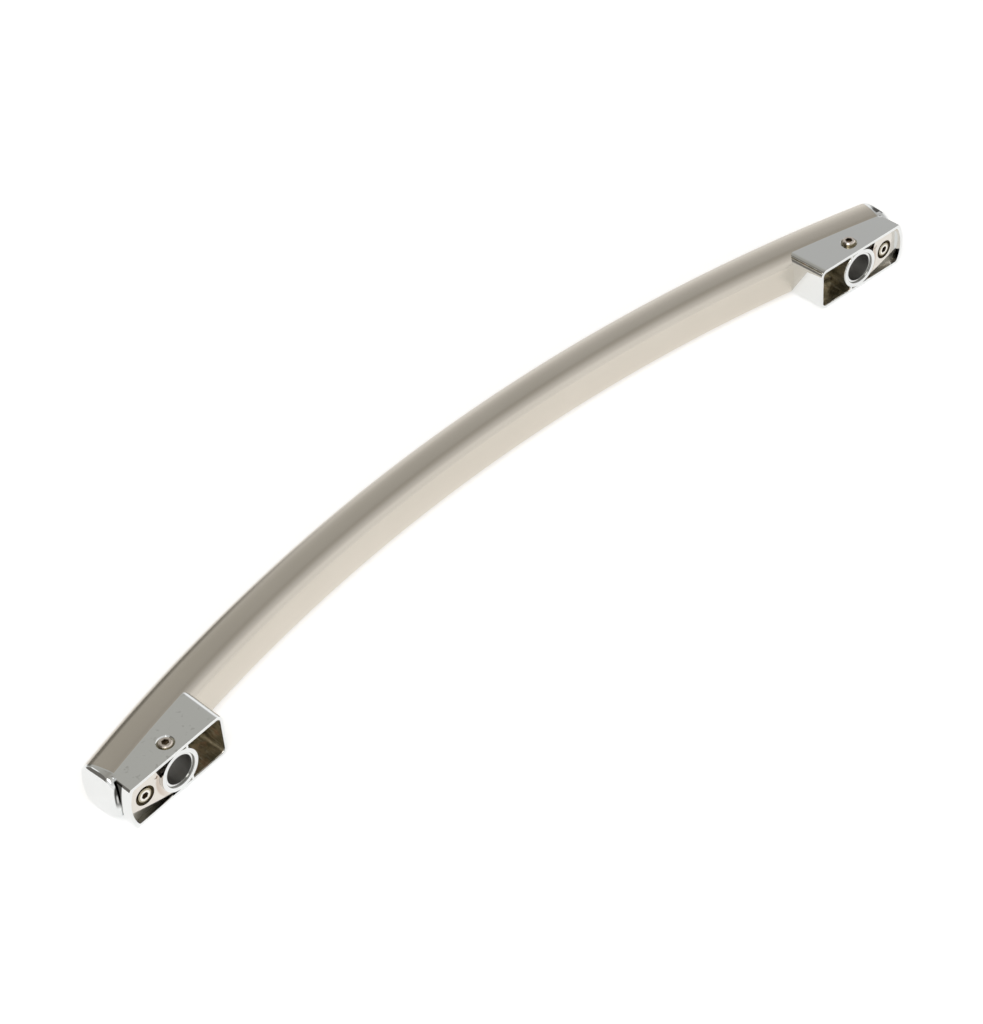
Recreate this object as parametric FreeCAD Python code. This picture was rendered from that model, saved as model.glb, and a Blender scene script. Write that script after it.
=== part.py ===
import FreeCAD, Part
import math
import os

Vec = FreeCAD.Vector

# Bowed bar: a hollow extrusion whose centre line is one circular arc
bow_radius = 805.6
bar_height_at_stud = 20.6
bar_thickness = 21.0
bar_width = 23.6
bar_face_radius = 42.0
bar_corner_radius = 7.2
bar_wall = 2.2
bar_half_length = 237.5

# Standoff box of each end bracket, open towards the door
standoff_length = 51.6
standoff_overhang = 0.625
standoff_width = 22.3
standoff_wall = 1.5
inner_corner_radius = 3.6
outer_corner_radius = 0.8
outer_end_crown = 2.0
door_angle = 4.6
saddle_thickness = 2.2

# Boss that takes the door's stud
stud_inset = 26.3
boss_radius = 9.75
bore_radius = 6.75
bore_floor = 1.75
rim_recess_radius = 7.9
rim_recess_depth = 0.8
rib_thickness = 1.0
rib_offset = 5.4

# Socket set screw in the side of each bracket
set_screw_radius = 3.0
set_screw_length = 4.0
set_screw_clearance = 0.05
set_screw_mouth = 0.9
set_screw_proud = {"left": 0.4, "right": 1.7}
set_socket_flats = 3.0
set_socket_depth = 2.2
set_screw_chamfer = 0.5

# Socket-head screw that holds each bracket to the bar
bar_screw_inset = 8.3
plateau_root_half_width = 9.2
plateau_half_width = 6.4
plateau_end_half_width = 3.8
plateau_web_half_width = 2.8
plateau_web_inset = 0.4
plateau_web_spread = 2.6
head_radius = 3.3
head_height = 4.0
head_edge = 0.35
head_socket_flats = 3.0
head_socket_depth = 2.0
shank_radius = 2.0
shank_length = 8.0
seat_radius = 4.65
shank_clearance = 0.2
thread_clearance = 0.02
pin_mark_radius = 0.9
pin_mark_depth = 0.3
pin_mark_offset = 11.6
pin_mark_height = 5.2

# Threaded anchor inside each end of the bar
anchor_length = 11.0
anchor_thickness = 6.0
anchor_clearance = 0.1
anchor_end_gap = 0.3

# End cap, cast in one with each standoff
cap_reach = 2.9
cap_lean = 12.4
cap_dome_rise = 1.6
cap_dome_radius = 120.0
cap_rim_radius = 2.0
groove_width = 1.4
groove_start = 2.0

half_thickness = bar_thickness / 2
half_width = bar_width / 2
standoff_half_width = standoff_width / 2
bar_end_x = bow_radius * math.sin(bar_half_length / bow_radius)
outer_end_x = bar_end_x + standoff_overhang
inner_end_x = outer_end_x - standoff_length
crown_x = outer_end_x + outer_end_crown
stud_x = outer_end_x - stud_inset
bar_screw_x = outer_end_x - bar_screw_inset
bow_height = bar_height_at_stud + bow_radius - math.sqrt(bow_radius**2 - stud_x**2)
bow_centre = Vec(0, bow_height - bow_radius, 0)
reach = 4 * bar_width
slope = math.tan(math.radians(door_angle))


def centre_y(x):
    """Height of the bar's centre line above the door plane at x."""
    return bow_centre.y + math.sqrt(bow_radius**2 - x**2)


def underside_y(x):
    """Height of the bar's door side at x."""
    return bow_centre.y + math.sqrt((bow_radius - half_thickness) ** 2 - x**2)


def mount_y(x):
    """Height of the tilted mounting face at x."""
    return -(x - inner_end_x) * slope


bore_top = underside_y(stud_x) - bore_floor
set_screw_y = bore_top - set_screw_radius - set_screw_clearance
seat_y = underside_y(bar_screw_x) - saddle_thickness
plateau_y = seat_y - head_height


def oval_edges(grow):
    """Four crowned faces joined by four tangent corner arcs, in the plane x = 0 of the bar's middle.

    grow offsets the whole outline outwards. Coordinates are (across, up) from the centre line.
    """
    front = (half_thickness - bar_face_radius, 0.0)
    side = (0.0, half_width - bar_face_radius)
    inset = bar_face_radius - bar_corner_radius
    span = math.hypot(front[0], side[1])
    middle = (front[0] / 2, side[1] / 2)
    lift = math.sqrt(inset**2 - (span / 2) ** 2) / span
    corner = (middle[0] - side[1] * lift, middle[1] - front[0] * lift)

    def beyond(centre):
        run = (corner[0] - centre[0], corner[1] - centre[1])
        scale = (bar_face_radius + grow) / math.hypot(*run)
        return (centre[0] + run[0] * scale, centre[1] + run[1] * scale)

    front_end = beyond(front)
    side_end = beyond(side)
    diagonal = (front_end[0] + side_end[0] - 2 * corner[0], front_end[1] + side_end[1] - 2 * corner[1])
    scale = (bar_corner_radius + grow) / math.hypot(*diagonal)
    corner_middle = (corner[0] + diagonal[0] * scale, corner[1] + diagonal[1] * scale)
    tip = half_thickness + grow
    top = half_width + grow

    def at(point, across, up):
        return Vec(0, bow_height + across * point[0], up * point[1])

    edges = []
    for across, up in ((1, 1), (-1, 1), (-1, -1), (1, -1)):
        corner_arc = Part.Arc(at(front_end, across, up), at(corner_middle, across, up), at(side_end, across, up))
        edges.append(corner_arc.toShape())
    for across in (1, -1):
        face_arc = Part.Arc(at(front_end, across, -1), at((tip, 0), across, 1), at(front_end, across, 1))
        edges.append(face_arc.toShape())
    for up in (1, -1):
        face_arc = Part.Arc(at(side_end, -1, up), at((0, top), 1, up), at(side_end, 1, up))
        edges.append(face_arc.toShape())
    return edges


def oval_wire(grow):
    return Part.Wire(Part.__sortEdges__(oval_edges(grow)))


def swept_oval(grow, start, end):
    """The oval, grown by a margin, swept along the bow between two distances from mid length."""
    face = Part.Face(oval_wire(grow))
    face.rotate(bow_centre, Vec(0, 0, 1), -math.degrees(end / bow_radius))
    return face.revolve(bow_centre, Vec(0, 0, 1), math.degrees((end - start) / bow_radius))


def below_bow(offset):
    """Everything on the door side of an arc that runs parallel to the centre line."""
    base = Vec(0, bow_centre.y, -reach)
    return Part.makeCylinder(bow_radius + offset, 2 * reach, base)


def plan_wire(inset, y):
    """Outline of the standoff seen from the door, inset by a wall."""
    half = standoff_half_width - inset
    inner = inner_end_x + inset
    outer = outer_end_x - inset
    crown = crown_x - inset
    round_in = max(inner_corner_radius - inset, standoff_wall)
    round_out = outer_corner_radius
    cut = round_in * (1 - math.sqrt(0.5))
    arcs = []
    lines = []
    for up in (1, -1):
        start = Vec(inner, y, up * (half - round_in))
        middle = Vec(inner + cut, y, up * (half - cut))
        end = Vec(inner + round_in, y, up * half)
        arcs.append(Part.Arc(start, middle, end).toShape())
        bevel_start = Vec(outer - round_out, y, up * half)
        lines.append(Part.makeLine(end, bevel_start))
        lines.append(Part.makeLine(bevel_start, Vec(outer, y, up * (half - round_out))))
    arcs.append(Part.Arc(Vec(outer, y, half - round_out), Vec(crown, y, 0), Vec(outer, y, round_out - half)).toShape())
    lines.append(Part.makeLine(Vec(inner, y, half - round_in), Vec(inner, y, round_in - half)))
    return Part.Wire(Part.__sortEdges__(arcs + lines))


def plan_prism(inset, low, high):
    return Part.Face(plan_wire(inset, low)).extrude(Vec(0, high - low, 0))


def door_side(depth=0):
    """Everything on the door's side of the mounting face, or of a plane that lies deeper by a depth."""
    block = Part.makeBox(2 * reach, reach, 2 * reach, Vec(-reach, depth - reach, -reach))
    block.rotate(Vec(0, 0, 0), Vec(0, 0, 1), -door_angle)
    block.translate(Vec(inner_end_x, 0, 0))
    return block


def upright(radius, x, z, low, high):
    """Cylinder along Y between two heights above the door plane."""
    return Part.makeCylinder(radius, high - low, Vec(x, low, z), Vec(0, 1, 0))


def hexagon(flats, height):
    """Hexagonal prism on the XY plane."""
    points = []
    for n in range(7):
        turn = math.radians(60 * n)
        points.append(Vec(math.cos(turn), math.sin(turn), 0) * (flats / math.sqrt(3)))
    return Part.Face(Part.makePolygon(points)).extrude(Vec(0, 0, height))


def round_edges(shape, z, radius):
    """The circular edges of one radius that lie at one height of an upright turned piece."""
    chosen = []
    for edge in shape.Edges:
        box = edge.BoundBox
        if abs(box.ZMin - z) < 1e-6 and abs(box.ZMax - z) < 1e-6 and abs(box.XMax - radius) < 1e-6:
            chosen.append(edge)
    return chosen


def end_cap():
    """Closes the end of the bar flush with its surface. Its leaning end face is a shallow dome with a rounded rim."""
    lean = math.radians(cap_lean)
    outwards = Vec(math.cos(lean), math.sin(lean), 0)
    apex = Vec(cap_reach, bow_height, 0) + outwards * cap_dome_rise
    cap = Part.Face(oval_wire(0)).extrude(Vec(bar_thickness, 0, 0))
    cap = cap.common(Part.makeSphere(cap_dome_radius, apex - outwards * cap_dome_radius))
    rim = []
    for edge in cap.Edges:
        if min(vertex.X for vertex in edge.Vertexes) > cap_reach / 2:
            rim.append(edge)
    cap = cap.makeFillet(cap_rim_radius, rim)
    cap.rotate(bow_centre, Vec(0, 0, 1), -math.degrees(bar_half_length / bow_radius))
    return cap


def plateau():
    """Screw plateau between the boss and the outer wall, from its face up into the saddle.

    A web joins it to the wall that holds the set screw. The other flank leaves a trough.
    """
    root = stud_x + rib_offset
    web = stud_x + boss_radius - plateau_web_inset
    wall = standoff_half_width - standoff_wall / 2
    outline = [
        (crown_x, wall),
        (crown_x, -plateau_end_half_width),
        (bar_screw_x, -plateau_half_width),
        (root, -plateau_root_half_width),
        (root, plateau_web_half_width),
        (web, plateau_web_half_width),
        (web + plateau_web_spread, wall),
        (crown_x, wall),
    ]
    corners = [Vec(x, plateau_y, z) for x, z in outline]
    face = Part.Face(Part.makePolygon(corners))
    return face.extrude(Vec(0, centre_y(stud_x) - plateau_y, 0))


def end_bracket():
    """The right-hand bracket as one casting: standoff box, saddle, boss, ribs, plateau and end cap."""
    lowest = -reach / 2
    top = centre_y(stud_x)
    past_end = bar_half_length + bar_width
    shell = plan_prism(0, lowest, bow_height).common(below_bow(0))
    hollow = plan_prism(standoff_wall, lowest, top)
    hollow = hollow.cut(swept_oval(saddle_thickness, 0, past_end))
    body = shell.cut(hollow)

    boss = upright(boss_radius, stud_x, 0, lowest, top)
    rib_width = 2 * (standoff_half_width - standoff_wall / 2)
    rib = Part.makeBox(rib_thickness, top - lowest, rib_width)
    rib.translate(Vec(stud_x - rib_offset - rib_thickness / 2, lowest, -rib_width / 2))
    fillings = boss.fuse([rib, plateau()])
    fillings = fillings.common(plan_prism(standoff_wall / 2, lowest, bow_height)).common(below_bow(0))
    body = body.fuse(fillings)

    body = body.cut(swept_oval(0, 0, bar_half_length))
    body = body.cut(swept_oval(groove_width, bar_half_length + groove_start, past_end))
    body = body.fuse(end_cap())

    recess = upright(rim_recess_radius, stud_x, 0, lowest, top).common(door_side(rim_recess_depth))
    mark_x = stud_x + pin_mark_offset
    hole_radius = set_screw_radius + set_screw_clearance
    hole = Part.makeCylinder(hole_radius, standoff_half_width, Vec(stud_x, set_screw_y, 0))
    mouth_z = standoff_half_width - set_screw_mouth
    chamfer = Part.makeCone(hole_radius, hole_radius + 2 * set_screw_mouth, 2 * set_screw_mouth,
                            Vec(stud_x, set_screw_y, mouth_z))
    cuts = [
        door_side(),
        recess,
        upright(bore_radius, stud_x, 0, lowest, bore_top),
        upright(seat_radius, bar_screw_x, 0, lowest, seat_y),
        upright(shank_radius + shank_clearance, bar_screw_x, 0, lowest, top),
        upright(pin_mark_radius, mark_x, pin_mark_height, lowest, plateau_y + pin_mark_depth),
        hole,
        chamfer,
    ]
    for cut in cuts:
        body = body.cut(cut)
    return body


def set_screw(proud):
    """Headless screw with a hexagon socket in its outer end."""
    top = standoff_half_width + proud
    screw = Part.makeCylinder(set_screw_radius, set_screw_length)
    ends = round_edges(screw, 0, set_screw_radius) + round_edges(screw, set_screw_length, set_screw_radius)
    screw = screw.makeChamfer(set_screw_chamfer, ends)
    socket = hexagon(set_socket_flats, set_socket_depth)
    socket.translate(Vec(0, 0, set_screw_length - set_socket_depth))
    screw = screw.cut(socket)
    screw.translate(Vec(stud_x, set_screw_y, top - set_screw_length))
    return screw


def bar_screw():
    """Socket-head screw, built with its shank up and then laid along Y."""
    head = Part.makeCylinder(head_radius, head_height, Vec(0, 0, -head_height))
    head = head.makeFillet(head_edge, round_edges(head, -head_height, head_radius))
    socket = hexagon(head_socket_flats, head_socket_depth)
    socket.translate(Vec(0, 0, -head_height))
    screw = head.cut(socket).fuse(Part.makeCylinder(shank_radius, shank_length))
    screw.rotate(Vec(0, 0, 0), Vec(1, 0, 0), -90)
    screw.translate(Vec(bar_screw_x, seat_y, 0))
    return screw


def bar_anchor():
    """Threaded block that lies on the door-side wall inside the bar."""
    end = bar_half_length - anchor_end_gap
    block = swept_oval(-bar_wall - anchor_clearance, end - anchor_length, end)
    block = block.common(below_bow(bar_wall + anchor_thickness - half_thickness))
    hole = upright(shank_radius + thread_clearance, bar_screw_x, 0, seat_y, centre_y(0))
    return block.cut(hole)


def grip_bar():
    """The hollow bar, with a screw hole through its door-side wall near each end."""
    bar = swept_oval(0, -bar_half_length, bar_half_length)
    bar = bar.cut(swept_oval(-bar_wall, -bar_half_length - bar_wall, bar_half_length + bar_wall))
    holes = []
    for side in (1, -1):
        holes.append(upright(shank_radius + shank_clearance, side * bar_screw_x, 0, seat_y, centre_y(bar_screw_x)))
    return bar.cut(holes)


def mirrored(shape):
    return shape.mirror(Vec(0, 0, 0), Vec(1, 0, 0))


bracket = end_bracket()
screw_in_bar = bar_screw()
anchor = bar_anchor()
nodes = {
    "grip_bar": grip_bar(),
    "end_bracket_right": bracket,
    "end_bracket_left": mirrored(bracket),
    "bar_screw_right": screw_in_bar,
    "bar_screw_left": mirrored(screw_in_bar),
    "bar_anchor_right": anchor,
    "bar_anchor_left": mirrored(anchor),
    "set_screw_right": set_screw(set_screw_proud["right"]),
    "set_screw_left": mirrored(set_screw(set_screw_proud["left"])),
}

# The origin lies under the middle of the handle's box, with the handle on its side
depth_middle = (bow_height + half_thickness + mount_y(crown_x)) / 2
to_frame = Vec(0, -depth_middle, half_width)

os.makedirs("parts", exist_ok=True)
for name, shape in nodes.items():
    shape = shape.removeSplitter()
    shape.translate(to_frame)
    shape.exportStep(f"parts/{name}.step")
    box = shape.BoundBox
    print(name, "solids", len(shape.Solids), "valid", shape.isValid(), "volume", round(shape.Volume, 1))
    print("   from", [round(v, 3) for v in (box.XMin, box.YMin, box.ZMin)],
          "to", [round(v, 3) for v in (box.XMax, box.YMax, box.ZMax)])
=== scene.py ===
import math

import bmesh
import bpy
from mathutils import Matrix, Vector

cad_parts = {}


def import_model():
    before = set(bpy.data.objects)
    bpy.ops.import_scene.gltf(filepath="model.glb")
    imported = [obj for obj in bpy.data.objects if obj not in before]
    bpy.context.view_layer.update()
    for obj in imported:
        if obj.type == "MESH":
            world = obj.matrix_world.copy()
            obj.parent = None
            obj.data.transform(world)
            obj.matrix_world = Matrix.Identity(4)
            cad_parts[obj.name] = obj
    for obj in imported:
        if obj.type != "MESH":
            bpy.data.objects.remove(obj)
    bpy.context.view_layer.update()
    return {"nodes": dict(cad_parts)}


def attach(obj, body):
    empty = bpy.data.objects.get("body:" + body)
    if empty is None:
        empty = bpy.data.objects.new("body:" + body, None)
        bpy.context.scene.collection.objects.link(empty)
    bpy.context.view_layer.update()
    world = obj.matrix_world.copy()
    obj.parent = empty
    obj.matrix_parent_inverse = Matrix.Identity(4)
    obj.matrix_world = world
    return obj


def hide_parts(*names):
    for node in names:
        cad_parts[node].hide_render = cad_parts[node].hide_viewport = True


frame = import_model()

MM = 0.001

# Sizes and places that the bar and the finishes follow, in metres, in the frame of the solids
BOW_RADIUS = 805.6 * MM
BOW_CENTRE_Y = -784.683 * MM
MIDDLE_Z = 11.8 * MM
HALF_THICKNESS = 10.5 * MM
HALF_WIDTH = 11.8 * MM
FACE_RADIUS = 42.0 * MM
CORNER_RADIUS = 7.2 * MM
DOOR_Y = -27.105 * MM
DOOR_SLOPE = math.radians(4.6)
INNER_END_X = 183.1 * MM
SIDE_FACE = 11.15 * MM
STUD_X = 208.4 * MM
BORE_RADIUS = 6.75 * MM
BAR_SCREW_X = 226.4 * MM
BAR_END = 237.5 * MM
BAR_WALL = 2.2 * MM
BAR_HOLE_RADIUS = 2.2 * MM
BOSS_RADIUS = 9.75 * MM
RECESS_RADIUS = 7.9 * MM
PLATEAU_Y = -28.696 * MM
SEAT_RADIUS = 4.65 * MM
HEAD_RADIUS = 3.3 * MM
SET_SCREW_Y = -22.18 * MM
SET_SCREW_RADIUS = 3.0 * MM
SOCKET_RADIUS = 1.74 * MM
SET_SCREW_TOP = {"left": 23.35 * MM, "right": 24.65 * MM}

# Facets of the bar
STATIONS = 96
RING_POINTS = 120
HOLE_SIDES = 48
SHARP_ANGLE = math.radians(35)

# Places of the finishes, in metres. HALF_CHANGE is half of the soft change beside the stud bore.
# Tops and floors of the painted shade slot and the painted glint are distances out from the bow line.
HOLLOW_HALF_WIDTH = 10.5 * MM
END_WALL = 0.7 * MM
HALF_CHANGE = 3.0 * MM
TROUGH_DEPTH = 2.2 * MM
SLOT_LENGTH = 8.0 * MM
SLOT_TOP = -8.4 * MM
SLOT_FLOOR = -12.5 * MM
GLINT_FLOOR = -10.0 * MM
GLINT_TOP = -9.4 * MM
# Radii of the screw faces inside which no painted shade lies
BAR_SCREW_UNSHADED = 2.5 * MM
SET_SCREW_UNSHADED = 2.9 * MM

# How far the reflections on the cap's side faces tip outwards
CAP_TIP = 0.17

# Colours of the metals. The boss flank, recess, seat, slot, screw flank, face rim and socket colours are
# painted shade; the pocket and slot glint colours are painted light
SATIN_DARK = (0.60, 0.555, 0.485, 1)
SATIN_LIGHT = (0.64, 0.595, 0.525, 1)
CHROME = (0.77, 0.78, 0.775, 1)
CHROME_PITS = (0.43, 0.43, 0.41, 1)
CHROME_INSIDE = (0.70, 0.665, 0.615, 1)
BOSS_FLANK_PAINTED_SHADE = (0.50, 0.41, 0.34, 1)
RECESS_PAINTED_SHADE = (0.20, 0.19, 0.17, 1)
TROUGH_GREY = (0.60, 0.585, 0.54, 1)
POCKET_PAINTED_LIGHT = (0.88, 0.84, 0.78, 1)
BORE_GREY = (0.42, 0.415, 0.40, 1)
SEAT_PAINTED_SHADE = (0.50, 0.44, 0.32, 1)
SLOT_PAINTED_SHADE = (0.06, 0.06, 0.055, 1)
SLOT_PAINTED_GLINT = (0.55, 0.55, 0.54, 1)
CASTING_DARK = (0.35, 0.325, 0.25, 1)
CASTING_LIGHT = (0.64, 0.59, 0.48, 1)
CASTING_STREAK = (0.90, 0.89, 0.85, 1)
CASTING_COPPER = (0.80, 0.56, 0.43, 1)
BAR_SCREW_LIGHT = (0.88, 0.85, 0.80, 1)
BAR_SCREW_DARK = (0.74, 0.71, 0.66, 1)
SET_SCREW_LIGHT = (0.82, 0.75, 0.69, 1)
SET_SCREW_DARK = (0.56, 0.49, 0.43, 1)
SCREW_FLANK_PAINTED_SHADE = (0.30, 0.27, 0.21, 1)
FACE_RIM_PAINTED_SHADE = (0.40, 0.36, 0.27, 1)
SOCKET_PAINTED_SHADE = (0.26, 0.22, 0.17, 1)

# Roughness of the metals; a pair is spread by a pattern
SATIN_ROUGHNESS = (0.22, 0.28)
SMUDGE_ROUGHNESS = (-0.02, 0.02)
CHROME_ROUGHNESS = (0.04, 0.07)
CASTING_ROUGHNESS = (0.2, 0.42)
BORE_ROUGHNESS = 0.38
TROUGH_ROUGHNESS = 0.4
SEAT_ROUGHNESS = 0.45
STEEL_ROUGHNESS = (0.12, 0.26)

# Scales of the patterns, in noise cells per metre
BRUSHING = (60, 2500, 2500)
SMUDGES = 30.0
BLOTCHES = 260.0
STREAKS = (900, 120, 900)
FINE_GRAIN = 900.0
COPPER_SPOTS = 140.0
PITS = 420.0
CLOUDS = 90.0
STEEL_GRAIN = 1500.0

# Heights of the bumps, in metres
BRUSH_HEIGHT = 0.00001
CASTING_HEIGHT = 0.0003
STEEL_HEIGHT = 0.00003

# The photograph's viewing angle
VIEW_AZIMUTH = math.radians(-41.917)
VIEW_ELEVATION = math.radians(42.908)
VIEW_ROLL = math.radians(-4.803)
VIEW_DISTANCE = 1256.3 * MM
VIEW_AIM = Vector((-19.5, -14.12, 8.6)) * MM
LENS_MM = 102.96
SENSOR_MM = 36.0
CLIP_START = 0.01

# Colours of the studio's upper part
CEILING_LEFT = (0.472, 0.465, 0.435, 1)
CEILING_RIGHT = (0.522, 0.518, 0.507, 1)
OVERHEAD = (0.35, 0.335, 0.30, 1)
WHITE = (1.0, 1.0, 1.0, 1)

# Angles between which the studio changes, in degrees.
# On the right the white low part ends higher by WHITE_RISE.
LEFT_TO_RIGHT = (62, 36)
TO_OVERHEAD = (46, 68)
WHITE_EDGE = (15, 7)
WHITE_RISE = 23.0
RISE_AZIMUTHS = (68, 60)

# White towards the camera: the direction's y where it starts, and how fast it grows from there
CAMERA_START = 0.2
CAMERA_GROWTH = 0.64

# Panels of the studio: azimuths and their soft edge, elevations and theirs, all in degrees, and the colour
SOFTBOX = (90, 108, 4, 44, 55, 2, (1.2, 1.2, 1.2, 1))
LIGHT_LINE = (35, 47, 2, -5, 27, 3, (1.05, 1.05, 1.05, 1))
DARK_PANEL = (110, 172, 4, -4, 58, 2, (0.17, 0.16, 0.145, 1))
LEFT_STRIP = (67, 86, 2, -5, 29, 4, (0.16, 0.15, 0.13, 1))
RIGHT_STRIP = (12, 33, 2, 6, 32, 2, (0.11, 0.105, 0.10, 1))

# Floor and lamp
FLOOR_HALF_SIZE = 6.0
FLOOR_DROP = 0.2 * MM
FLOOR_GREY = (0.9, 0.9, 0.9, 1)
FLOOR_GLOW = 0.43
LAMP_PLACE = (-0.9, -0.5, 1.6)
LAMP_SIZE = 1.2
LAMP_POWER = 8.0


class Nodes:
    """Short calls for building one node tree."""

    def __init__(self, tree):
        self.tree = tree
        tree.nodes.clear()

    def add(self, kind, **inputs):
        node = self.tree.nodes.new(kind)
        for name, value in inputs.items():
            self.put(node.inputs[name.replace("_", " ")], value)
        return node

    def put(self, socket, value):
        if isinstance(value, bpy.types.NodeSocket):
            self.tree.links.new(value, socket)
        else:
            socket.default_value = value

    def math(self, operation, a, b=0.0, clamp=False):
        node = self.tree.nodes.new("ShaderNodeMath")
        node.operation = operation
        node.use_clamp = clamp
        self.put(node.inputs[0], a)
        self.put(node.inputs[1], b)
        return node.outputs[0]

    def vector_math(self, operation, a, b=(0, 0, 0)):
        node = self.tree.nodes.new("ShaderNodeVectorMath")
        node.operation = operation
        self.put(node.inputs[0], a)
        self.put(node.inputs[1], b)
        return node.outputs[0]

    def step(self, value, low, high):
        """Rises smoothly from 0 at low to 1 at high; a low above high makes it fall."""
        node = self.tree.nodes.new("ShaderNodeMapRange")
        node.interpolation_type = "SMOOTHSTEP"
        self.put(node.inputs["Value"], value)
        flipped = low > high
        self.put(node.inputs["From Min"], min(low, high))
        self.put(node.inputs["From Max"], max(low, high))
        self.put(node.inputs["To Min"], 1.0 if flipped else 0.0)
        self.put(node.inputs["To Max"], 0.0 if flipped else 1.0)
        return node.outputs["Result"]

    def scale(self, value, low, high):
        """Maps 0..1 to low..high."""
        node = self.tree.nodes.new("ShaderNodeMapRange")
        self.put(node.inputs["Value"], value)
        self.put(node.inputs["To Min"], low)
        self.put(node.inputs["To Max"], high)
        return node.outputs["Result"]

    def mix(self, factor, a, b):
        """Colour a where factor is 0, b where it is 1."""
        node = self.tree.nodes.new("ShaderNodeMix")
        node.data_type = "RGBA"
        self.put(node.inputs["Factor"], factor)
        self.put(node.inputs[6], a)
        self.put(node.inputs[7], b)
        return node.outputs[2]

    def noise(self, vector, scale, detail, roughness=0.5):
        node = self.add("ShaderNodeTexNoise", Vector=vector, Scale=scale, Detail=detail, Roughness=roughness)
        return node.outputs["Fac"]

    def place(self):
        """Position in the row frame, in metres, as a vector and as x, y, z."""
        coordinates = self.tree.nodes.new("ShaderNodeTexCoord").outputs["Object"]
        split = self.add("ShaderNodeSeparateXYZ", Vector=coordinates)
        return coordinates, split.outputs[0], split.outputs[1], split.outputs[2]

    def stretched(self, vector, factors):
        """The vector with its x, y and z times the factors."""
        node = self.tree.nodes.new("ShaderNodeMapping")
        self.put(node.inputs["Vector"], vector)
        self.put(node.inputs["Scale"], factors)
        return node.outputs["Vector"]

    def bump(self, height, distance, strength):
        node = self.add("ShaderNodeBump", Height=height, Strength=strength, Distance=distance)
        return node.outputs["Normal"]

    def choose(self, test, a, b):
        """a where test is 1, b where it is 0."""
        first = self.math("MULTIPLY", test, a)
        second = self.math("MULTIPLY", self.math("SUBTRACT", 1.0, test), b)
        return self.math("ADD", first, second)

    def both(self, *masks):
        """1 where all the masks are 1."""
        product = masks[0]
        for mask in masks[1:]:
            product = self.math("MULTIPLY", product, mask)
        return product

    def window(self, value, low, high, soft):
        """1 between low and high, with soft edges."""
        return self.both(self.step(value, low - soft, low + soft), self.step(value, high + soft, high - soft))

    def length(self, a, b):
        squares = self.math("ADD", self.math("MULTIPLY", a, a), self.math("MULTIPLY", b, b))
        return self.math("SQRT", squares)


def new_material(name):
    """Metal with one principled shader; the caller fills in its sockets."""
    material = bpy.data.materials.new(name)
    material.use_nodes = True
    nodes = Nodes(material.node_tree)
    shader = nodes.add("ShaderNodeBsdfPrincipled")
    shader.inputs["Metallic"].default_value = 1.0
    output = nodes.add("ShaderNodeOutputMaterial")
    nodes.put(output.inputs["Surface"], shader.outputs[0])
    return material, nodes, shader


def corner_centre():
    """Centre of the oval's corner arc, from the two face arcs that it touches."""
    front = HALF_THICKNESS - FACE_RADIUS
    side = HALF_WIDTH - FACE_RADIUS
    span = math.hypot(front, side)
    inset = FACE_RADIUS - CORNER_RADIUS
    lift = math.sqrt(inset**2 - (span / 2) ** 2) / span
    return front / 2 - side * lift, side / 2 - front * lift


def oval_point(turn, grow):
    """Point of the grown oval where its outward normal is turned that far from the bow side's."""
    corner_a, corner_b = corner_centre()
    a = abs(math.cos(turn))
    b = abs(math.sin(turn))
    lean = math.atan2(b, a)
    centre = (corner_a, corner_b)
    radius = CORNER_RADIUS + grow
    if lean < math.atan2(corner_b, corner_a - HALF_THICKNESS + FACE_RADIUS):
        centre = (HALF_THICKNESS - FACE_RADIUS, 0.0)
        radius = FACE_RADIUS + grow
    elif lean > math.atan2(corner_b - HALF_WIDTH + FACE_RADIUS, corner_a):
        centre = (0.0, HALF_WIDTH - FACE_RADIUS)
        radius = FACE_RADIUS + grow
    across = math.copysign(centre[0] + radius * a, math.cos(turn))
    up = math.copysign(centre[1] + radius * b, math.sin(turn))
    return across, up


def bar_ring(shell, along, grow):
    """One ring of points round the section, at a distance along the bow from mid length."""
    swing = along / BOW_RADIUS
    ring = []
    for step in range(RING_POINTS):
        across, up = oval_point(2 * math.pi * step / RING_POINTS, grow)
        reach = BOW_RADIUS + across
        place = (reach * math.sin(swing), BOW_CENTRE_Y + reach * math.cos(swing), MIDDLE_Z + up)
        ring.append(shell.verts.new(place))
    return ring


def as_object(name, mesh):
    """Turns the edited mesh into an object of the scene, with its faces outwards."""
    bmesh.ops.recalc_face_normals(mesh, faces=mesh.faces)
    data = bpy.data.meshes.new(name)
    mesh.to_mesh(data)
    mesh.free()
    made = bpy.data.objects.new(name, data)
    bpy.context.scene.collection.objects.link(made)
    return made


def hole_cutter():
    """Two round cutters for the screw holes through the bar's door-side wall."""
    mesh = bmesh.new()
    top = BOW_CENTRE_Y + math.sqrt(BOW_RADIUS**2 - BAR_SCREW_X**2)
    upright = Matrix.Rotation(math.radians(90), 4, "X")
    for side in (1, -1):
        middle = Matrix.Translation((side * BAR_SCREW_X, (top + PLATEAU_Y) / 2, MIDDLE_Z))
        bmesh.ops.create_cone(mesh, cap_ends=True, segments=HOLE_SIDES, radius1=BAR_HOLE_RADIUS,
                              radius2=BAR_HOLE_RADIUS, depth=top - PLATEAU_Y, matrix=middle @ upright)
    return as_object("hole_cutter", mesh)


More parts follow.
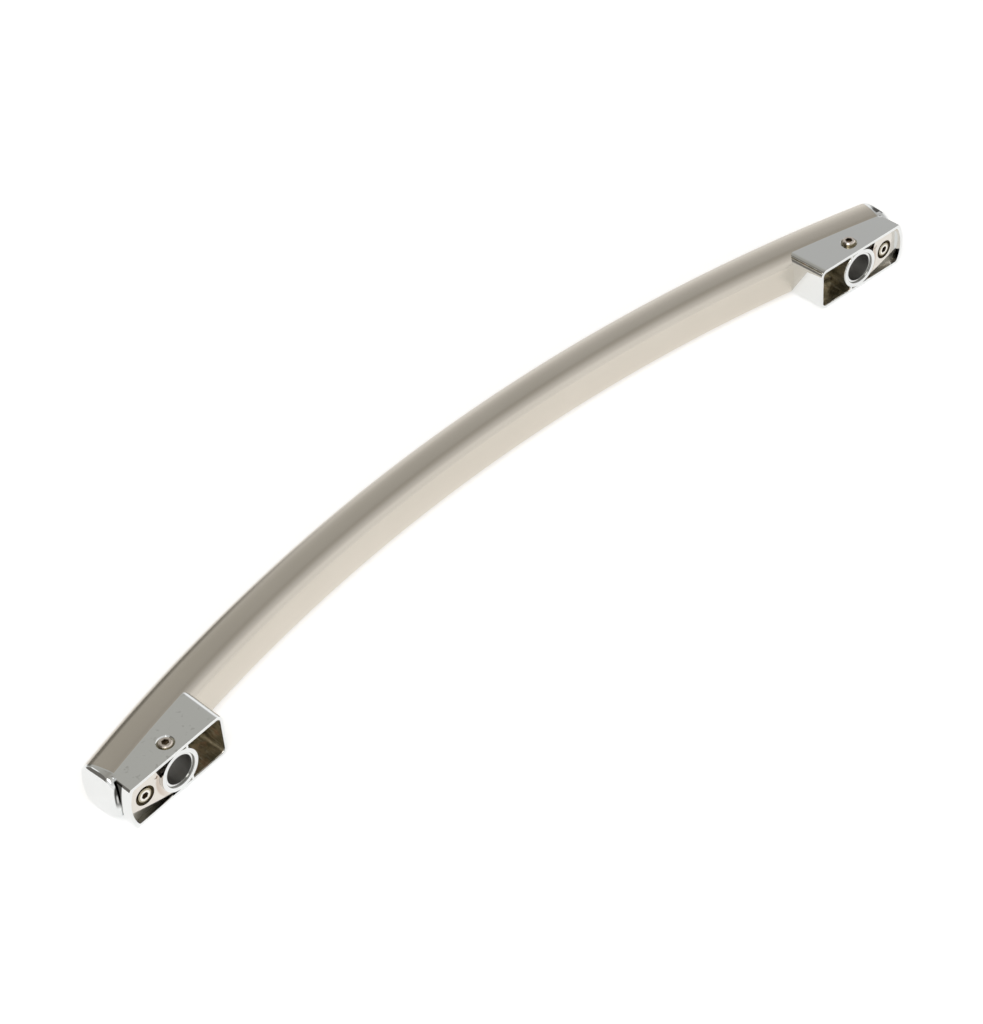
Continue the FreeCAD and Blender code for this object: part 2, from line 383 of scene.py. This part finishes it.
def bowed_bar(material):
    """The bar in the form of its CAD node, in facets fine enough for a smooth outline."""
    shell = bmesh.new()
    rings = []
    for station in range(STATIONS + 1):
        rings.append(bar_ring(shell, BAR_END * (2 * station / STATIONS - 1), 0.0))
    for station in range(STATIONS + 1):
        rings.append(bar_ring(shell, BAR_END * (1 - 2 * station / STATIONS), -BAR_WALL))
    for i in range(len(rings)):
        here = rings[i - 1]
        there = rings[i]
        for j in range(RING_POINTS):
            shell.faces.new((here[j - 1], here[j], there[j], there[j - 1]))
    made = as_object("bowed_grip_bar", shell)
    cutter = hole_cutter()
    cut = made.modifiers.new("screw_holes", "BOOLEAN")
    cut.operation = "DIFFERENCE"
    cut.solver = "EXACT"
    cut.object = cutter
    result = made.evaluated_get(bpy.context.evaluated_depsgraph_get())
    made.data = bpy.data.meshes.new_from_object(result)
    made.modifiers.clear()
    bpy.data.objects.remove(cutter)
    made.data.shade_smooth()
    made.data.set_sharp_from_angle(angle=SHARP_ANGLE)
    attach(made, "handle")
    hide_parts("grip_bar")
    made.data.materials.clear()
    made.data.materials.append(material)


def satin_aluminium():
    """Satin bar: fine brushing along the length, with faint smudges."""
    material, n, shader = new_material("satin_aluminium")
    place = n.place()[0]
    lines = n.noise(n.stretched(place, BRUSHING), 1.0, 3.0, 0.6)
    smudges = n.noise(place, SMUDGES, 3.0)
    roughness = n.math("ADD", n.scale(lines, *SATIN_ROUGHNESS), n.scale(smudges, *SMUDGE_ROUGHNESS))
    n.put(shader.inputs["Base Color"], n.mix(smudges, SATIN_DARK, SATIN_LIGHT))
    n.put(shader.inputs["Roughness"], roughness)
    n.put(shader.inputs["Normal"], n.bump(lines, BRUSH_HEIGHT, 0.15))
    return material


def chrome_casting():
    """Polished chrome outside. The hollow inside is dull, dark and blotchy, with coppery tints."""
    material, n, shader = new_material("chrome_casting")
    place, x, y, z = n.place()
    side_x = n.math("ABSOLUTE", x)
    up = n.math("SUBTRACT", z, MIDDLE_Z)
    from_middle = n.math("ABSOLUTE", up)
    from_stud = n.length(n.math("SUBTRACT", side_x, STUD_X), up)
    from_screw = n.length(n.math("SUBTRACT", side_x, BAR_SCREW_X), up)

    # Depth behind the leaning mounting face
    run = n.math("MULTIPLY", n.math("SUBTRACT", side_x, INNER_END_X), math.sin(DOOR_SLOPE))
    rise = n.math("MULTIPLY", n.math("SUBTRACT", y, DOOR_Y), math.cos(DOOR_SLOPE))
    depth = n.math("ADD", run, rise)

    # Distance along the bow from mid length, and distance out from the bow line
    from_centre = n.math("SUBTRACT", y, BOW_CENTRE_Y)
    along = n.math("MULTIPLY", n.math("ARCTAN2", side_x, from_centre), BOW_RADIUS)
    off_line = n.math("SUBTRACT", n.length(x, from_centre), BOW_RADIUS)

    # Hollow between the walls, behind the mounting face: rough up to the boss, smoother beyond it
    behind = n.step(depth, 0.05 * MM, 0.7 * MM)
    hollow = n.both(
        n.step(from_middle, HOLLOW_HALF_WIDTH, HOLLOW_HALF_WIDTH - 0.2 * MM),
        behind,
        n.step(side_x, INNER_END_X + END_WALL, INNER_END_X + END_WALL + 0.2 * MM),
    )
    rough_part = n.both(
        hollow,
        n.step(side_x, STUD_X + HALF_CHANGE, STUD_X - HALF_CHANGE),
        n.step(from_stud, BORE_RADIUS + 1.3 * MM, BORE_RADIUS + 1.6 * MM),
    )
    outer_half = n.both(
        hollow,
        n.step(side_x, STUD_X - HALF_CHANGE, STUD_X + HALF_CHANGE),
        n.step(from_stud, BOSS_RADIUS, BOSS_RADIUS + 0.2 * MM),
        n.step(off_line, -11.0 * MM, -12.0 * MM),
        n.step(side_x, BAR_END - 3.0 * MM, BAR_END - 4.0 * MM),
    )

    # Low ground beside the plateau, and its corner beside the boss, whose upper half gets painted light
    trough = n.both(outer_half, n.step(depth, TROUGH_DEPTH, TROUGH_DEPTH + 0.8 * MM))
    painted_light_pocket = n.both(trough, n.step(up, 0.0, 2.0 * MM))

    bore = n.both(n.step(from_stud, BORE_RADIUS + 0.15 * MM, BORE_RADIUS + 0.05 * MM), behind)
    # Painted shade: the screw seat below the plateau is painted dark olive
    in_seat = n.step(from_screw, SEAT_RADIUS + 0.1 * MM, SEAT_RADIUS)
    shaded_seat = n.both(in_seat, n.step(y, PLATEAU_Y, PLATEAU_Y + 0.6 * MM))
    # Painted shade: a dark line painted along the edge of the recess round the boss
    recess_edge = n.window(from_stud, RECESS_RADIUS - 0.28 * MM, RECESS_RADIUS + 0.04 * MM, 0.06 * MM)
    recess_shade_line = n.both(recess_edge, n.step(depth, 1.6 * MM, 1.4 * MM))
    # Painted shade: the flank beside the boss is painted brown
    boss_flank_shade = n.both(
        n.window(from_stud, BOSS_RADIUS, BOSS_RADIUS + 2.4 * MM, 0.5 * MM),
        n.step(side_x, STUD_X + 6.0 * MM, STUD_X + 8.0 * MM),
        n.step(depth, 0.8 * MM, 1.6 * MM),
    )

    # Deep corner between the end cap and the outer wall: a strip of painted shade with a painted glint,
    # fading away downwards
    slot = n.both(
        n.window(along, BAR_END, BAR_END + SLOT_LENGTH, 0.15 * MM),
        n.step(off_line, SLOT_TOP, SLOT_TOP - 0.6 * MM),
        n.window(up, -2.0 * MM, 10.9 * MM, 0.1 * MM),
        n.step(up, -3.0 * MM, 2.0 * MM),
        n.step(off_line, SLOT_FLOOR, SLOT_FLOOR + 0.5 * MM),
    )
    painted_glint = n.both(
        n.window(off_line, GLINT_FLOOR, GLINT_TOP, 0.3 * MM),
        n.window(up, 1.0 * MM, 5.0 * MM, 1.0 * MM),
    )

    # Patterns of the rough casting
    blotches = n.noise(place, BLOTCHES, 4.0, 0.6)
    streaks = n.noise(n.stretched(place, STREAKS), 1.0, 3.0, 0.6)
    fine = n.noise(place, FINE_GRAIN, 3.0, 0.6)
    streaked = n.both(n.step(streaks, 0.5, 0.68), n.scale(blotches, 0.2, 1.0))
    copper = n.step(n.noise(place, COPPER_SPOTS, 2.0), 0.60, 0.68)
    casting = n.mix(n.step(blotches, 0.35, 0.7), CASTING_DARK, CASTING_LIGHT)
    casting = n.mix(streaked, casting, CASTING_STREAK)
    casting = n.mix(n.math("MULTIPLY", copper, 0.45), casting, CASTING_COPPER)

    # Pits on the side face of the left bracket
    pits = n.step(n.noise(place, PITS, 2.0), 0.62, 0.72)
    clouds = n.scale(n.noise(place, CLOUDS, 3.0, 0.6), 0.0, 0.6)
    on_side = n.both(n.step(up, SIDE_FACE - 0.3 * MM, SIDE_FACE - 0.1 * MM), n.step(x, 0.0, -0.05))
    pitted = n.both(pits, on_side, clouds)

    colour = CHROME
    layers = (
        (pitted, CHROME_PITS),
        (outer_half, CHROME_INSIDE),
        (boss_flank_shade, BOSS_FLANK_PAINTED_SHADE),
        (n.math("MULTIPLY", recess_shade_line, 0.75), RECESS_PAINTED_SHADE),
        (rough_part, casting),
        (trough, TROUGH_GREY),
        (painted_light_pocket, POCKET_PAINTED_LIGHT),
        (bore, BORE_GREY),
        (shaded_seat, SEAT_PAINTED_SHADE),
        (slot, n.mix(painted_glint, SLOT_PAINTED_SHADE, SLOT_PAINTED_GLINT)),
    )
    for mask, tone in layers:
        colour = n.mix(mask, colour, tone)
    n.put(shader.inputs["Base Color"], colour)

    roughness = n.scale(fine, *CHROME_ROUGHNESS)
    duller = (
        (rough_part, n.scale(fine, *CASTING_ROUGHNESS)),
        (bore, BORE_ROUGHNESS),
        (trough, TROUGH_ROUGHNESS),
        (shaded_seat, SEAT_ROUGHNESS),
    )
    for mask, dull in duller:
        roughness = n.choose(mask, dull, roughness)
    n.put(shader.inputs["Roughness"], roughness)

    # The cap's sides round off towards its end, so their reflections tip outwards
    cap_side = n.both(
        n.step(along, BAR_END + 0.1 * MM, BAR_END + 1.2 * MM),
        n.step(off_line, -7.5 * MM, -6.0 * MM),
        n.step(from_middle, 9.0 * MM, 10.0 * MM),
    )
    tip = n.tree.nodes.new("ShaderNodeCombineXYZ")
    n.put(tip.inputs[0], n.both(cap_side, n.math("SIGN", x), CAP_TIP))
    height = n.math("MULTIPLY", n.math("ADD", blotches, streaks), rough_part)
    bumped = n.bump(height, CASTING_HEIGHT, 0.6)
    tipped = n.vector_math("NORMALIZE", n.vector_math("ADD", bumped, tip.outputs[0]))
    n.put(shader.inputs["Normal"], tipped)
    return material


def screw_steel(name, from_axis, sunk, light, dark, head_radius, unshaded_radius):
    """Steel with painted shade in its socket. sunk is 1 deeper than the socket's mouth.

    The flank, and the face outside the radius given last, are painted darker than the rest, as painted shade.
    """
    material, n, shader = new_material(name)
    place, x, y, z = n.place()
    grain = n.noise(place, STEEL_GRAIN, 3.0, 0.6)
    radius = from_axis(n, x, y, z)
    deep = sunk(n, x, y, z)
    # Painted shade: the flank down in the seat or hole is painted darker
    screw_flank_shade = n.both(n.step(radius, head_radius - 0.3 * MM, head_radius - 0.15 * MM), deep)
    # Painted shade: the face outside the radius given last is painted darker
    face_rim_shade = n.step(radius, unshaded_radius - 0.1 * MM, unshaded_radius + 0.1 * MM)
    # Painted shade: the socket is painted dark
    socket = n.both(n.step(radius, SOCKET_RADIUS + 0.12 * MM, SOCKET_RADIUS), deep)
    steel = n.mix(grain, dark, light)
    steel = n.mix(n.math("MULTIPLY", screw_flank_shade, 0.6), steel, SCREW_FLANK_PAINTED_SHADE)
    steel = n.mix(face_rim_shade, steel, FACE_RIM_PAINTED_SHADE)
    n.put(shader.inputs["Base Color"], n.mix(socket, steel, SOCKET_PAINTED_SHADE))
    n.put(shader.inputs["Roughness"], n.scale(grain, *STEEL_ROUGHNESS))
    n.put(shader.inputs["Normal"], n.bump(grain, STEEL_HEIGHT, 0.5))
    return material


def bar_screw_axis(n, x, y, z):
    return n.length(n.math("SUBTRACT", n.math("ABSOLUTE", x), BAR_SCREW_X), n.math("SUBTRACT", z, MIDDLE_Z))


def bar_screw_sunk(n, x, y, z):
    return n.step(y, PLATEAU_Y + 0.1 * MM, PLATEAU_Y + 0.7 * MM)


def set_screw_axis(n, x, y, z):
    return n.length(n.math("SUBTRACT", n.math("ABSOLUTE", x), STUD_X), n.math("SUBTRACT", y, SET_SCREW_Y))


def set_screw_sunk(top):
    def sunk(n, x, y, z):
        return n.step(z, top - 0.1 * MM, top - 0.7 * MM)
    return sunk


def dress(names, material):
    for name in names:
        for slot in frame["nodes"][name].material_slots:
            slot.material = material


def camera():
    back = Vector((
        math.sin(VIEW_AZIMUTH) * math.cos(VIEW_ELEVATION),
        -math.cos(VIEW_AZIMUTH) * math.cos(VIEW_ELEVATION),
        math.sin(VIEW_ELEVATION),
    ))
    level = Vector((math.cos(VIEW_AZIMUTH), math.sin(VIEW_AZIMUTH), 0))
    upright = back.cross(level)
    right = math.cos(VIEW_ROLL) * level + math.sin(VIEW_ROLL) * upright
    up = back.cross(right)
    data = bpy.data.cameras.new("camera")
    data.sensor_fit = "VERTICAL"
    data.sensor_height = SENSOR_MM
    data.lens = LENS_MM
    data.clip_start = CLIP_START
    made = bpy.data.objects.new("camera", data)
    turned = Matrix((right, up, back)).transposed().to_4x4()
    made.matrix_world = Matrix.Translation(VIEW_AIM + back * VIEW_DISTANCE) @ turned
    bpy.context.scene.collection.objects.link(made)
    bpy.context.scene.camera = made


def seen_ray(n):
    """1 for camera, glossy and transmission rays, 0 for the rays that only light the object."""
    path = n.tree.nodes.new("ShaderNodeLightPath")
    seen = n.math("ADD", path.outputs["Is Camera Ray"], path.outputs["Is Glossy Ray"])
    return n.math("ADD", seen, path.outputs["Is Transmission Ray"], clamp=True)


def world():
    """Studio that the chrome shows: grey overhead, white low down and towards the camera, with panels."""
    made = bpy.data.worlds.new("studio")
    bpy.context.scene.world = made
    made.use_nodes = True
    n = Nodes(made.node_tree)
    direction = n.tree.nodes.new("ShaderNodeTexCoord").outputs["Generated"]
    split = n.add("ShaderNodeSeparateXYZ", Vector=direction)
    x, y, z = split.outputs[0], split.outputs[1], split.outputs[2]
    azimuth = n.math("DEGREES", n.math("ARCTAN2", y, x))
    elevation = n.math("DEGREES", n.math("ARCSINE", z))

    def lay(under, left, right, side_soft, bottom, top, rise_soft, tone):
        """Lays one panel over the colour under it."""
        panel = n.both(n.window(azimuth, left, right, side_soft), n.window(elevation, bottom, top, rise_soft))
        return n.mix(panel, under, tone)

    ceiling = n.mix(n.step(azimuth, *LEFT_TO_RIGHT), CEILING_LEFT, CEILING_RIGHT)
    ceiling = n.mix(n.step(elevation, *TO_OVERHEAD), ceiling, OVERHEAD)
    to_camera = n.math("MULTIPLY", n.math("SUBTRACT", CAMERA_START, y), CAMERA_GROWTH, clamp=True)
    colour = n.mix(to_camera, ceiling, WHITE)
    colour = lay(colour, *SOFTBOX)
    raised = n.math("MULTIPLY", n.step(azimuth, *RISE_AZIMUTHS), WHITE_RISE)
    low = n.step(n.math("SUBTRACT", elevation, raised), *WHITE_EDGE)
    colour = n.mix(low, colour, WHITE)
    for panel in (LIGHT_LINE, DARK_PANEL, LEFT_STRIP, RIGHT_STRIP):
        colour = lay(colour, *panel)
    background = n.add("ShaderNodeBackground", Color=colour, Strength=1.0)
    output = n.add("ShaderNodeOutputWorld")
    n.put(output.inputs["Surface"], background.outputs[0])


def floor():
    """White ground that keeps the shadow."""
    size = FLOOR_HALF_SIZE
    mesh = bpy.data.meshes.new("floor")
    corners = [(-size, -size, 0), (size, -size, 0), (size, size, 0), (-size, size, 0)]
    mesh.from_pydata(corners, [], [(0, 1, 2, 3)])
    made = bpy.data.objects.new("floor", mesh)
    made.location.z = -FLOOR_DROP
    bpy.context.scene.collection.objects.link(made)
    material = bpy.data.materials.new("white_floor")
    material.use_nodes = True
    n = Nodes(material.node_tree)
    diffuse = n.add("ShaderNodeBsdfDiffuse", Color=FLOOR_GREY)
    glow = n.add("ShaderNodeEmission", Color=WHITE, Strength=n.math("MULTIPLY", seen_ray(n), FLOOR_GLOW))
    both = n.add("ShaderNodeAddShader")
    n.put(both.inputs[0], diffuse.outputs[0])
    n.put(both.inputs[1], glow.outputs[0])
    output = n.add("ShaderNodeOutputMaterial")
    n.put(output.inputs["Surface"], both.outputs[0])
    mesh.materials.append(material)


def lamp(name):
    """Round lamp that looks at the middle of the handle."""
    data = bpy.data.lights.new(name, "AREA")
    data.shape = "DISK"
    data.size = LAMP_SIZE
    data.energy = LAMP_POWER
    made = bpy.data.objects.new(name, data)
    made.location = LAMP_PLACE
    made.rotation_euler = Vector(LAMP_PLACE).to_track_quat("Z", "Y").to_euler()
    bpy.context.scene.collection.objects.link(made)


satin = satin_aluminium()
chrome = chrome_casting()
bar_screw = screw_steel("bar_screw_steel", bar_screw_axis, bar_screw_sunk,
                        BAR_SCREW_LIGHT, BAR_SCREW_DARK, HEAD_RADIUS, BAR_SCREW_UNSHADED)
bowed_bar(satin)
dress(["end_bracket_left", "end_bracket_right"], chrome)
dress(["bar_screw_left", "bar_screw_right", "bar_anchor_left", "bar_anchor_right"], bar_screw)
for hand, top in SET_SCREW_TOP.items():
    set_screw = screw_steel("set_screw_steel_" + hand, set_screw_axis, set_screw_sunk(top),
                            SET_SCREW_LIGHT, SET_SCREW_DARK, SET_SCREW_RADIUS, SET_SCREW_UNSHADED)
    dress(["set_screw_" + hand], set_screw)

bpy.context.scene.view_settings.view_transform = "Standard"
camera()
world()
floor()
lamp("key")
